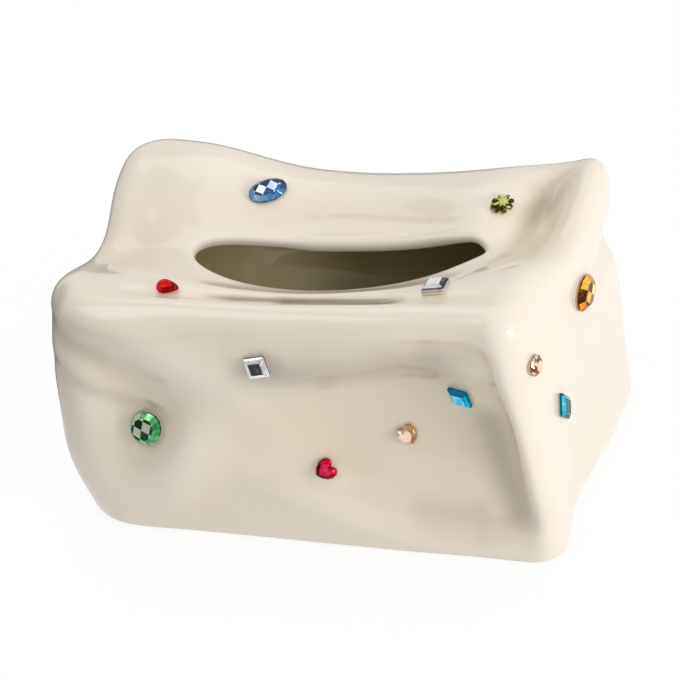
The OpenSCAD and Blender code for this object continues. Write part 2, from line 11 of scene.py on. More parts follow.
import bmesh
import bpy
from mathutils import Matrix, Vector, noise
from mathutils.bvhtree import BVHTree

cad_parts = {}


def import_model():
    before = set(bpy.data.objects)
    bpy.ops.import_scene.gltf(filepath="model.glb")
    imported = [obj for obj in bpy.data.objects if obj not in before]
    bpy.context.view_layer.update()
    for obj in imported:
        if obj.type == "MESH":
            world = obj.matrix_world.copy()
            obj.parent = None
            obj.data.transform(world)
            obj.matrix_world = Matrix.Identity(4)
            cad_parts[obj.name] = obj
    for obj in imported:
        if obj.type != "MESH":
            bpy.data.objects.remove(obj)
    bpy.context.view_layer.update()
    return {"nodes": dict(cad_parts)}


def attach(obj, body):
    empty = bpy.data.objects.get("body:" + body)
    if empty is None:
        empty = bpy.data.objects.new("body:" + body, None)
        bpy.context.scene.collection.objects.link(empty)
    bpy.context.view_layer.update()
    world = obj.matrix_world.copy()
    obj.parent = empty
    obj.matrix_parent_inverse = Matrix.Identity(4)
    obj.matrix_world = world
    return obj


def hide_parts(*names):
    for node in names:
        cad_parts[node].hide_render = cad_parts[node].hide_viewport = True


LOG = logging.getLogger("tissue_box_cover")
MILLIMETRE = 0.001
PHOTO_PIXELS = 680
BODY = "root"
WELD_DISTANCE = 0.002 * MILLIMETRE
WHITE = (1.0, 1.0, 1.0, 1.0)
# Middle of what a noise gives, from 0 to 1
MIDDLE = 0.5
# Up in a stone's own face, as one looks down on the cover from the front
RISE = Vector((-0.25, 0.52, 0.82))
# Tones of a stone's facets at which its dark, deep, body and pale tints stand
TONE_STOPS = (0.08, 0.35, 0.62, 0.95)


def clamp(value: float, low: float = 0.0, high: float = 1.0) -> float:
    """Keeps a value from going below low or above high."""
    return max(low, min(high, value))


@dataclass(frozen=True)
class Paint:
    """A colour as it looks on a screen, from 0 to 255."""

    red: float
    green: float
    blue: float

    def linear(self) -> tuple[float, float, float, float]:
        """The colour as light, by the usual curve of a screen.

        Returns:
            Red, green and blue from 0 to 1, and full alpha.
        """
        parts = [part / 255 for part in (self.red, self.green, self.blue)]
        light = [c / 12.92 if c <= 0.04045 else ((c + 0.055) / 1.055) ** 2.4 for c in parts]
        return (light[0], light[1], light[2], 1.0)


class Wire:
    """A number in a node tree that takes Python's own arithmetic."""

    def __init__(self, bench: "NodeBench", socket: bpy.types.NodeSocket) -> None:
        """Wraps one output socket of the bench's tree."""
        self.bench = bench
        self.socket = socket

    def _math(self, operation: str, first: Any, second: Any) -> "Wire":
        """Adds one Math node on two values."""
        return self.bench.add("ShaderNodeMath", {"operation": operation}, {0: first, 1: second})

    def __add__(self, other: Any) -> "Wire":
        """Sum."""
        return self._math("ADD", self, other)

    def __radd__(self, other: Any) -> "Wire":
        """Sum, from the right."""
        return self._math("ADD", other, self)

    def __sub__(self, other: Any) -> "Wire":
        """Difference."""
        return self._math("SUBTRACT", self, other)

    def __rsub__(self, other: Any) -> "Wire":
        """Difference, from the right."""
        return self._math("SUBTRACT", other, self)

    def __mul__(self, other: Any) -> "Wire":
        """Product."""
        return self._math("MULTIPLY", self, other)

    def __rmul__(self, other: Any) -> "Wire":
        """Product, from the right."""
        return self._math("MULTIPLY", other, self)

    def at_most(self, other: Any) -> "Wire":
        """The smaller of this and another value."""
        return self._math("MINIMUM", self, other)

    def at_least(self, other: Any) -> "Wire":
        """The larger of this and another value."""
        return self._math("MAXIMUM", self, other)

    def eased(self, low: float, high: float) -> "Wire":
        """A soft step from 0 at low to 1 at high."""
        return self.bench.add("ShaderNodeMapRange", {"interpolation_type": "SMOOTHSTEP"},
                              {0: self, 1: low, 2: high, 3: 0.0, 4: 1.0})


class NodeBench:
    """A node tree under construction."""

    def __init__(self, tree: bpy.types.NodeTree) -> None:
        """Clears a tree and starts to build in it."""
        self.tree = tree
        tree.nodes.clear()

    def _node(self, kind: str, settings: dict[str, Any] | None,
              inputs: dict[int | str, Any] | None) -> bpy.types.Node:
        """Makes a node, for every other method.

        Args:
            kind: The node's type.
            settings: Its properties, such as a Math node's operation, and "stops" for a ramp.
            inputs: A number, colour or wire for each socket, by number or name.

        Returns:
            The node.
        """
        node = self.tree.nodes.new(kind)
        for name, value in (settings or {}).items():
            if name == "stops":
                self._set_stops(node, value)
            else:
                setattr(node, name, value)
        for name, value in (inputs or {}).items():
            if isinstance(value, Wire):
                self.tree.links.new(value.socket, node.inputs[name])
            else:
                node.inputs[name].default_value = value
        return node

    @staticmethod
    def _set_stops(node: bpy.types.Node, stops: list[tuple[float, tuple]]) -> None:
        """Gives a ramp its stops.

        Args:
            node: The ramp's node.
            stops: The place of each stop, from 0 to 1, and its colour.
        """
        ramp = node.color_ramp
        while len(ramp.elements) < len(stops):
            ramp.elements.new(MIDDLE)
        for element, (position, colour) in zip(ramp.elements, stops):
            element.position = position
            element.color = colour

    def add(self, kind: str, settings: dict[str, Any] | None = None,
            inputs: dict[int | str, Any] | None = None, output: int | str = 0) -> Wire:
        """Adds a node as _node does, and hands back one of its outputs, by number or name."""
        return Wire(self, self._node(kind, settings, inputs).outputs[output])

    def place(self) -> Wire:
        """The surface's own coordinates, in metres."""
        return self.add("ShaderNodeTexCoord", output="Object")

    def along(self, vector: Wire, axis: str) -> Wire:
        """One number of a vector, by the name of its axis."""
        return self.add("ShaderNodeSeparateXYZ", None, {0: vector}, output=axis)

    def mix(self, share: Any, first: Any, second: Any) -> Wire:
        """Mixes two colours.

        Args:
            share: How much of the second one there is.
            first: Colour at a share of 0.
            second: Colour at a share of 1.

        Returns:
            The mixed colour.
        """
        # A Mix node's own sockets for colours are inputs 6 and 7 and output 2
        return self.add("ShaderNodeMix", {"data_type": "RGBA"}, {0: share, 6: first, 7: second},
                        output=2)

    def vector(self, operation: str, first: Any, second: Any = (0.0, 0.0, 0.0),
               output: int | str = 0) -> Wire:
        """Adds one Vector Math node on two vectors."""
        return self.add("ShaderNodeVectorMath", {"operation": operation}, {0: first, 1: second},
                        output)

    def clouds(self, place: Wire, size: float, detail: float = 2.0) -> Wire:
        """Soft noise round the middle whose patches are about as wide as size, in metres."""
        return self.add("ShaderNodeTexNoise", None,
                        {"Vector": place, "Scale": 1 / size, "Detail": detail})

    def attribute(self, name: str) -> Wire:
        """A number that the mesh itself carries."""
        return self.add("ShaderNodeAttribute", {"attribute_name": name}, output="Fac")

    def surface(self, inputs: dict[int | str, Any]) -> None:
        """Ends the tree with one shader for all of a surface, from its sockets' values."""
        self.finish(self.add("ShaderNodeBsdfPrincipled", None, inputs))

    def finish(self, shader: Wire, kind: str = "ShaderNodeOutputMaterial") -> None:
        """Ends the tree with its output node."""
        self._node(kind, None, {"Surface": shader})


def new_bench(name: str) -> tuple[bpy.types.Material, NodeBench]:
    """Makes an empty material.

    Args:
        name: The material's name.

    Returns:
        The material and the bench that builds its nodes.
    """
    material = bpy.data.materials.new(name)
    material.use_nodes = True
    return material, NodeBench(material.node_tree)


@dataclass(frozen=True)
class Glaze:
    """Cream glaze over pale clay, darker and warmer in hollows by painted shade, lighter on
    ridges by painted light.
    """

    # Lighter on ridges by painted light, darker and warmer in hollows by painted shade and
    # bounce light
    lighter_and_lit: Paint = Paint(246, 235, 219)
    body: Paint = Paint(242, 230, 212)
    darker_and_shaded: Paint = Paint(238, 224, 202)
    clay: Paint = Paint(226, 214, 198)
    # Painted shade laid along the tool strokes
    painted_shade_colour: Paint = Paint(142, 128, 106)
    # Painted shade inside the cover: a darker olive, darker still on the right
    inside: Paint = Paint(196, 181, 140)
    inside_shade_right: Paint = Paint(138, 122, 80)
    # From left to right, where the inside's painted shade turns darker
    inside_shade_turn: tuple[float, float] = (-60 * MILLIMETRE, 0 * MILLIMETRE)
    # How shut in a place is, where it starts to look like the inside and where it fully does
    inside_step: tuple[float, float] = (0.45, 0.8)
    # How much painted shade and painted light the hollows and ridges get, and the random clouds
    # of tone
    hollow_share: float = 0.8
    cloud_size: float = 45 * MILLIMETRE
    darker_clouds: float = 0.5
    lighter_clouds: float = 0.4
    lighter_share: float = 0.8
    waver_size: float = 14 * MILLIMETRE
    waver_depth: float = 0.05 * MILLIMETRE
    waver_detail: float = 1.0
    # The glaze ends in a ragged line above the foot
    foot_line: float = 1.2 * MILLIMETRE
    foot_fade: float = 0.4 * MILLIMETRE
    ragged_size: float = 4 * MILLIMETRE
    ragged_height: float = 0.6 * MILLIMETRE
    clay_roughness: float = 0.75
    glaze_smoothing: float = 0.3
    refraction: float = 1.45
    coat_roughness: float = 0.05
    coat_refraction: float = 1.5

    def material(self) -> bpy.types.Material:
        """Builds the glaze, bare at the foot where the piece stood in the kiln.

        Returns:
            The material.
        """
        material, bench = new_bench("cream_glaze")
        place = bench.place()
        ragged = bench.clouds(place, self.ragged_size) * self.ragged_height
        height = bench.along(place, "Z") + ragged
        glazed = height.eased(self.foot_line, self.foot_line + self.foot_fade)
        colour = bench.mix(glazed, self.clay.linear(), self._outside(bench, place))
        # Painted shade along the tool strokes darkens the glaze
        colour = bench.mix(bench.attribute("painted_shade"), colour, self.painted_shade_colour.linear())
        # Painted shade where the skin is shut in
        shut_in = bench.attribute("inside").eased(*self.inside_step)
        colour = bench.mix(shut_in, colour, self._inside_shade(bench, place))
        waver = bench.clouds(place, self.waver_size, self.waver_detail)
        normal = bench.add("ShaderNodeBump", None,
                           {"Strength": 1.0, "Distance": self.waver_depth, "Height": waver},
                           output="Normal")
        bench.surface({
            "Base Color": colour,
            "Roughness": self.clay_roughness - self.glaze_smoothing * glazed,
            "Normal": normal,
            "IOR": self.refraction,
            "Coat Weight": glazed,
            "Coat Roughness": self.coat_roughness,
            "Coat IOR": self.coat_refraction,
        })
        return material

    def _outside(self, bench: NodeBench, place: Wire) -> Wire:
        """The glaze's colour: darker and warmer in hollows by painted shade, lighter on ridges
        by painted light, and cloudy at random.

        Args:
            bench: The glaze's nodes.
            place: The surface's own coordinates.

        Returns:
            The colour.
        """
        hollow = bench.attribute("hollow")
        clouds = bench.clouds(place, self.cloud_size) - MIDDLE
        # Painted shade in hollows and painted light on ridges, with clouds of tone at random
        darker_and_shaded = (hollow * self.hollow_share + clouds * self.darker_clouds).eased(0.0, 1.0)
        lighter_and_lit = (hollow * -self.hollow_share + clouds * self.lighter_clouds).eased(0.0, 1.0)
        colour = bench.mix(darker_and_shaded, self.body.linear(), self.darker_and_shaded.linear())
        return bench.mix(lighter_and_lit * self.lighter_share, colour, self.lighter_and_lit.linear())

    def _inside_shade(self, bench: NodeBench, place: Wire) -> Wire:
        """The inside's painted shade, darker from its left to its right."""
        turn = bench.along(place, "X").eased(*self.inside_shade_turn)
        return bench.mix(turn, self.inside.linear(), self.inside_shade_right.linear())


@dataclass(frozen=True)
class Acrylic:
    """Tinted acrylic, each facet painted light or dark for the reflections that its mirror back
    shows.
    """

    name: str
    dark: Paint
    deep: Paint
    body: Paint
    pale: Paint
    bit_size: float = 1.7 * MILLIMETRE
    bit_share: float = 0.22
    scuff_size: float = 0.8 * MILLIMETRE
    scuff_detail: float = 4.0
    scuff_step: tuple[float, float] = (0.55, 0.8)
    scuff_roughness: float = 0.06
    roughness: float = 0.08
    metallic: float = 0.5
    refraction: float = 1.49
    specular: float = 0.2

    def material(self) -> bpy.types.Material:
        """Builds the acrylic, with small painted bright and dark bits for the reflections its
        back shows.

        Returns:
            The material.
        """
        material, bench = new_bench(self.name)
        place = bench.place()
        # Small painted bright and dark bits for the reflections of the back
        cells = bench.add("ShaderNodeTexVoronoi", None,
                          {"Vector": place, "Scale": 1 / self.bit_size}, output="Color")
        bit = bench.along(cells, "X") - MIDDLE
        tone = bench.attribute("tone") + bit * self.bit_share
        paints = (self.dark, self.deep, self.body, self.pale)
        stops = [(position, paint.linear()) for position, paint in zip(TONE_STOPS, paints)]
        scuffs = bench.clouds(place, self.scuff_size, self.scuff_detail).eased(*self.scuff_step)
        bench.surface({
            "Base Color": bench.add("ShaderNodeValToRGB", {"stops": stops}, {0: tone}, "Color"),
            "Roughness": self.roughness + self.scuff_roughness * scuffs,
            "Metallic": self.metallic,
            "IOR": self.refraction,
            "Specular IOR Level": self.specular,
        })
        return material


@dataclass(frozen=True)
class Foil:
    """Mirror foil on the flat back of a stone, lacquered in the stone's tint."""

    bright: Paint
    dull: Paint
    mark_size: float = 1.5 * MILLIMETRE
    mark_detail: float = 3.0
    mark_roughness: float = 0.1
    roughness: float = 0.08

    def material(self) -> bpy.types.Material:
        """Builds the foil, with faint roller marks.

        Returns:
            The material.
        """
        material, bench = new_bench("mirror_foil")
        marks = bench.clouds(bench.place(), self.mark_size, self.mark_detail)
        bench.surface({
            "Base Color": bench.mix(marks, self.bright.linear(), self.dull.linear()),
            "Metallic": 1.0,
            "Roughness": self.roughness + self.mark_roughness * marks,
        })
        return material


@dataclass(frozen=True)
class Glue:
    """Clear glue that has gone a little milky."""

    fresh: Paint = Paint(232, 220, 202)
    milky: Paint = Paint(212, 198, 178)
    cloud_size: float = 1.2 * MILLIMETRE
    cloud_roughness: float = 0.1
    roughness: float = 0.12
    refraction: float = 1.5

    def material(self) -> bpy.types.Material:
        """Builds the glue.

        Returns:
            The material.
        """
        material, bench = new_bench("clear_glue")
        clouds = bench.clouds(bench.place(), self.cloud_size)
        bench.surface({
            "Base Color": bench.mix(clouds, self.fresh.linear(), self.milky.linear()),
            "Roughness": self.roughness + self.cloud_roughness * clouds,
            "IOR": self.refraction,
        })
        return material


class Tint(Enum):
    """The acrylic tints, by the record's slot names, each with its dark, deep, body and pale."""

    BLUE = Acrylic("acrylic_blue", Paint(50, 60, 78), Paint(52, 108, 176),
                   Paint(128, 178, 228), Paint(236, 242, 248))
    RED = Acrylic("acrylic_red", Paint(130, 2, 4), Paint(205, 6, 10),
                  Paint(242, 16, 16), Paint(255, 90, 70))
    OLIVE = Acrylic("acrylic_olive", Paint(64, 64, 12), Paint(138, 138, 42),
                    Paint(208, 208, 104), Paint(244, 244, 180))
    CLEAR = Acrylic("acrylic_clear", Paint(60, 56, 58), Paint(132, 128, 132),
                    Paint(214, 212, 218), Paint(254, 254, 255))
    GREEN = Acrylic("acrylic_green", Paint(36, 64, 50), Paint(64, 152, 94),
                    Paint(118, 212, 142), Paint(234, 248, 222))
    CRIMSON = Acrylic("acrylic_crimson", Paint(100, 2, 22), Paint(178, 2, 38),
                      Paint(242, 8, 82), Paint(255, 100, 142))
    PEACH = Acrylic("acrylic_peach", Paint(128, 90, 52), Paint(212, 166, 122),
                    Paint(252, 218, 188), Paint(255, 240, 224))
    CYAN = Acrylic("acrylic_cyan", Paint(0, 92, 116), Paint(0, 148, 188),
                   Paint(4, 196, 236), Paint(150, 236, 250))
    AMBER = Acrylic("acrylic_amber", Paint(74, 32, 0), Paint(200, 106, 0),
                    Paint(252, 172, 14), Paint(255, 236, 140))
    TEAL = Acrylic("acrylic_teal", Paint(14, 66, 78), Paint(0, 124, 148),
                   Paint(28, 178, 204), Paint(170, 238, 248))
    VIOLET = Acrylic("acrylic_violet", Paint(66, 44, 102), Paint(124, 88, 184),
                     Paint(184, 152, 236), Paint(238, 226, 252))
    ROSE = Acrylic("acrylic_rose", Paint(140, 42, 78), Paint(210, 84, 130),
                   Paint(246, 144, 182), Paint(255, 212, 228))
    AQUA = Acrylic("acrylic_aqua", Paint(38, 104, 106), Paint(76, 176, 176),
                   Paint(142, 226, 222), Paint(224, 250, 246))


def new_piece(name: str, mesh: bmesh.types.BMesh, material: bpy.types.Material,
              smooth: bool) -> bpy.types.Object:
    """Turns a finished bmesh into an object of the scene.

    Args:
        name: The piece's name.
        mesh: Its shape, in metres, in the row's frame.
        material: Its finish.
        smooth: Whether its faces are shaded as one curved skin.

    Returns:
        The new object, at the origin.
    """
    data = bpy.data.meshes.new(name)
    mesh.to_mesh(data)
    mesh.free()
    data.materials.append(material)
    data.polygons.foreach_set("use_smooth", [smooth] * len(data.polygons))
    piece = bpy.data.objects.new(name, data)
    bpy.context.scene.collection.objects.link(piece)
    return piece


def welded(node: bpy.types.Object) -> bmesh.types.BMesh:
    """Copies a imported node's mesh and joins its loose triangles.

    Args:
        node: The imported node.

    Returns:
        The joined copy.
    """
    mesh = bmesh.new()
    mesh.from_mesh(node.data)
    bmesh.ops.remove_doubles(mesh, verts=mesh.verts, dist=WELD_DISTANCE)
    return mesh


class Tool(Enum):
    """What the potter's tool does to the skin along its path."""

    # Pressed in along the path, or raised along it at a depth below zero
    GROOVE = auto()
    # Pushed in on the path's left and out on its right
    FOLD = auto()


class Side(Enum):
    """The side of the cover that a tool works on."""

    TOP = auto()
    FRONT = auto()


@dataclass(frozen=True)
class Stroke:
    """A stroke of the potter's tool, along a path over the top or up the front, with the painted
    shade it lays.

    The path, the reach to its sides and the depth are in millimetres. The path's spots are x
    and y over the top, or x and z on the front.
    """

    tool: Tool
    side: Side
    path: tuple[tuple[float, float], ...]
    reach: float
    depth: float
    # How much painted shade darkens the glaze along the path
    painted_shade: float = 0.0
    # Share of the path's length over which each of its ends runs out
    fade: float = 0.15
    # Over what height above the foot, and at what distance from a stone, it fades in
    foot_height: float = 12 * MILLIMETRE
    seat_margin: float = 6 * MILLIMETRE
    # Skin that faces the tool's side less than this is left alone, where 1 is squarely
    least_facing: float = 0.3
    # How far to the path's sides the skin is looked at, in reaches
    span: float = 3.0

    def press(self, mesh: bmesh.types.BMesh, painted_shade_layer: bmesh.types.BMLayerItem,
              seats: list[tuple[Vector, float]]) -> None:
        """Presses the stroke into the skin.

        Args:
            mesh: The shell's smooth skin.
            painted_shade_layer: Layer of how much darker the glaze lies at a place.
            seats: Middle and reach of each stone's seat, which the stroke leaves flat.
        """
        spots = [Vector(spot) for spot in self.path]
        margin = self.span * self.reach
        low = [min(spot[axis] for spot in spots) - margin for axis in (0, 1)]
        high = [max(spot[axis] for spot in spots) + margin for axis in (0, 1)]
        for vert in mesh.verts:
            on_top = self.side is Side.TOP
            facing = vert.normal.z if on_top else -vert.normal.y
            place = (vert.co.xy if on_top else vert.co.xz) / MILLIMETRE
            near = all(low[axis] < place[axis] < high[axis] for axis in (0, 1))
            if facing < self.least_facing or not near:
                continue
            away, share = self._nearest(spots, place)
            strength = clamp(min(share, 1 - share) / self.fade)
            strength *= clamp(vert.co.z / self.foot_height)
            part = away / self.reach
            push = strength * self._profile(part)
            for seat, reach in seats:
                push *= clamp(((vert.co - seat).length - reach) / self.seat_margin)
            vert.co -= vert.normal * (push * self.depth * MILLIMETRE)
            # Painted shade along the path
            vert[painted_shade_layer] = max(vert[painted_shade_layer], self.painted_shade * strength * math.exp(-part * part))

    def _profile(self, part: float) -> float:
        """The shape that the tool leaves across the path.

        Args:
            part: How far to the left of the path a place lies, in reaches.

        Returns:
            How deep the skin goes in there, in depths.
        """
        if self.tool is Tool.GROOVE:
            return math.exp(-part * part)
        return part * math.exp((1 - part * part) / 2)

    @staticmethod
    def _nearest(spots: list[Vector], place: Vector) -> tuple[float, float]:
        """Finds a place's nearest point on the path.

        Args:
            spots: The path.
            place: The place, in the path's own plane.

        Returns:
            How far the place lies to the left of the path, and how far along it, from 0 to 1.
        """
        best, found, gone = math.inf, (math.inf, 0.0), 0.0
        whole = sum((end - start).length for start, end in zip(spots, spots[1:]))
        for start, end in zip(spots, spots[1:]):
            way = end - start
            share = clamp((place - start).dot(way) / way.length_squared)
            apart = place - start - way * share
            if apart.length < best:
                best = apart.length
                side = math.copysign(1.0, way.x * apart.y - way.y * apart.x)
                found = (side * best, (gone + share * way.length) / whole)
            gone += way.length
        return found


STROKES = (
    # Crease before the slot, its left part and its right part, with painted shade in them
    Stroke(Tool.GROOVE, Side.TOP, ((-38, -49), (-18, -47.3), (2, -46), (14, -45.8)),
           reach=1.1, depth=1.0, painted_shade=0.8, fade=0.3),
    Stroke(Tool.GROOVE, Side.TOP,
           ((-6, -46), (10, -45.9), (26, -46.1), (42, -47.2), (56, -48), (64, -48.4)),
           reach=1.5, depth=1.8, painted_shade=1.0, fade=0.12),
    # Light line to the right of the slot, with a little painted shade
    Stroke(Tool.GROOVE, Side.TOP, ((82, -34), (87.5, -13), (93, 3), (98, 14)),
           reach=1.2, depth=1.2, painted_shade=0.1),
    # Lip of the scoop at the foot of the front
    Stroke(Tool.FOLD, Side.FRONT,
           ((-30, 42), (3.5, 31), (34, 19), (58, 12), (84, 9.5), (108, 17)),
           reach=6, depth=1.7),
    # Fold under the front's upper lip, and the painted shade in it
    Stroke(Tool.FOLD, Side.FRONT, ((-20, 97), (15, 95), (45, 96), (78, 99)),
           reach=11, depth=-1.8),
    Stroke(Tool.GROOVE, Side.FRONT, ((-24, 99), (0, 100), (40, 99), (72, 103), (90, 90)),
           reach=12, depth=0.3, painted_shade=0.5),
    # Painted shade at the foot of the front right ridge
    Stroke(Tool.GROOVE, Side.FRONT, ((92, 78), (98, 55), (106, 33), (112, 14)),
           reach=9, depth=0.3, painted_shade=0.46),
    # Painted shade in a shallow groove low in the scoop
    Stroke(Tool.GROOVE, Side.FRONT, ((50, 22), (74, 19), (95, 22)),
           reach=6, depth=0.2, painted_shade=0.2),
    # Fold at the left of the front with a little painted shade, and the painted shade above it
    Stroke(Tool.FOLD, Side.FRONT, ((-121, 98), (-108, 88), (-92, 78), (-76, 71), (-58, 69)),
           reach=6, depth=-1.4, painted_shade=0.16),
    Stroke(Tool.GROOVE, Side.FRONT, ((-119, 112), (-100, 108), (-80, 100)),
           reach=7, depth=0.3, painted_shade=0.22),
    # Ridge at the lower left of the front
    Stroke(Tool.GROOVE, Side.FRONT, ((-74, 17), (-50, 35), (-28, 56)),
           reach=9, depth=-1.0, fade=0.3),
    # Valley that runs out over the right rim, with painted shade in it
    Stroke(Tool.GROOVE, Side.TOP,
           ((93, 27), (99, 37), (103.5, 43.5), (108, 47), (113, 51), (118, 56)),
           reach=5, depth=0.8, painted_shade=0.42, fade=0.5),
    # Painted shade at the front left corner of the top
    Stroke(Tool.GROOVE, Side.TOP, ((-110, -46), (-107, -54), (-103, -64)),
           reach=4, depth=0.2, painted_shade=0.45, fade=0.3),
)


@dataclass(frozen=True)
class CoverShell:
    """The ceramic shell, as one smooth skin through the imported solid's corners."""

    node: str = "cover_shell"
    piece: str = "glazed_shell"
    slot: str = "glaze"
    # How often the cage is halved on its way to a smooth skin
    levels: int = 2
    hollow_rounds: int = 12
    hollow_softness: float = 0.5
    hollow_depth: float = 1.2 * MILLIMETRE
    # How far off the skin its surroundings are probed
    probe: float = 0.5 * MILLIMETRE
    lump_size: float = 30 * MILLIMETRE
    lump_depth: float = 0.15 * MILLIMETRE
    # Over what height above the foot the lumps fade in
    lump_fade: float = 4 * MILLIMETRE
    # The foot's flat: its height at most, and how upright its normals are at least
    foot_flat: float = 0.01 * MILLIMETRE
    foot_upright: float = 0.99
    strokes: tuple[Stroke, ...] = STROKES
    glaze: Glaze = Glaze()
    # Up, right, left, back and front
    WAYS: ClassVar[tuple[Vector, ...]] = tuple(
        Vector(way) for way in ((0, 0, 1), (1, 0, 0), (-1, 0, 0), (0, 1, 0), (0, -1, 0)))

    def build(self, nodes: dict[str, bpy.types.Object]) -> bpy.types.Object:
        """Builds the shell.

        Args:
            nodes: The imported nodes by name.

        Returns:
            The finished shell.
        """
        cage = self._cage(nodes[self.node])
        self._mark_hollows(cage)
        self._mark_inside(cage)
        shell = new_piece(self.piece, cage, self.glaze.material(), smooth=True)
        self._smooth(shell)
        self._sculpt(shell, self._seats(nodes))
        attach(shell, BODY)
        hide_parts(self.node)
        return shell

    def _cage(self, node: bpy.types.Object) -> bmesh.types.BMesh:
        """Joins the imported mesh's triangles by twos, and keeps the foot's edges crisp.

        Args:
            node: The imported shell.

        Returns:
            The same shape in four-sided faces.
        """
        cage = welded(node)
        faces = list(cage.faces)
        diagonals = []
        for first, second in zip(faces[::2], faces[1::2]):
            diagonals += set(first.edges) & set(second.edges)
        if 2 * len(diagonals) == len(faces):
            bmesh.ops.dissolve_edges(cage, edges=diagonals, use_verts=False)
        else:
            bmesh.ops.join_triangles(cage, faces=faces, angle_face_threshold=math.pi,
                                     angle_shape_threshold=math.pi)
        crease = cage.edges.layers.float.new("crease_edge")
        for edge in cage.edges:
            if all(vert.co.z < self.foot_flat for vert in edge.verts) and not edge.is_boundary:
                slopes = [abs(face.normal.z) for face in edge.link_faces]
                if min(slopes) < self.foot_upright < max(slopes):
                    edge[crease] = 1.0
        return cage

    def _mark_hollows(self, cage: bmesh.types.BMesh) -> None:
        """Writes how far each place lies in a hollow, from -1 on a ridge to 1.

        Args:
            cage: The shell before it is made smooth.
        """
        layer = cage.verts.layers.float.new("hollow")
        smoothed = cage.copy()
        for _ in range(self.hollow_rounds):
            bmesh.ops.smooth_vert(smoothed, verts=smoothed.verts, factor=self.hollow_softness,
                                  use_axis_x=True, use_axis_y=True, use_axis_z=True)
        cage.normal_update()
        for vert, other in zip(cage.verts, smoothed.verts):
            depth = (other.co - vert.co).dot(vert.normal)
            vert[layer] = clamp(depth / self.hollow_depth, -1.0)
        smoothed.free()

    def _mark_inside(self, cage: bmesh.types.BMesh) -> None:
        """Writes 1 where the skin is shut in by walls all round and a top, and 0 outside.

        Args:
            cage: The shell before it is made smooth.
        """
        layer = cage.verts.layers.float.new("inside")
        tree = BVHTree.FromBMesh(cage)
        for vert in cage.verts:
            start = vert.co + vert.normal * self.probe
            vert[layer] = float(all(tree.ray_cast(start, way)[0] for way in self.WAYS))

    def _smooth(self, shell: bpy.types.Object) -> None:
        """Subdivides the cage into the smooth skin.

        Args:
            shell: The shell, which gets the finer mesh.
        """
        modifier = shell.modifiers.new("skin", "SUBSURF")
        modifier.levels = self.levels
        modifier.render_levels = self.levels
        graph = bpy.context.evaluated_depsgraph_get()
        data = bpy.data.meshes.new_from_object(shell.evaluated_get(graph))
        shell.modifiers.clear()
        old = shell.data
        shell.data = data
        bpy.data.meshes.remove(old)
        data.name = shell.name

    @staticmethod
    def _seats(nodes: dict[str, bpy.types.Object]) -> list[tuple[Vector, float]]:
        """Finds where the stones' beds of glue lie.

        Args:
            nodes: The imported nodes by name.

        Returns:
            Middle and reach of each bed.
        """
        seats = []
        for name, node in nodes.items():
            if name.startswith("glue_"):
                spots = [vert.co for vert in node.data.vertices]
                middle = sum(spots, Vector()) / len(spots)
                seats.append((middle, max((spot - middle).length for spot in spots)))
        return seats

    def _sculpt(self, shell: bpy.types.Object, seats: list[tuple[Vector, float]]) -> None:
        """Gives the skin the tool strokes and the faint lumps of a hand-shaped piece.

        Args:
            shell: The shell, already smooth.
            seats: Middle and reach of each stone's seat.
        """
        mesh = bmesh.new()
        mesh.from_mesh(shell.data)
        mesh.normal_update()
        # Painted shade that the strokes lay on the glaze
        painted_shade_layer = mesh.verts.layers.float.new("painted_shade")
        for stroke in self.strokes:
            stroke.press(mesh, painted_shade_layer, seats)
        for vert in mesh.verts:
            lift = clamp(vert.co.z / self.lump_fade)
            lump = noise.noise(vert.co / self.lump_size)
            vert.co += vert.normal * (lump * lift * self.lump_depth)
        mesh.to_mesh(shell.data)
        mesh.free()


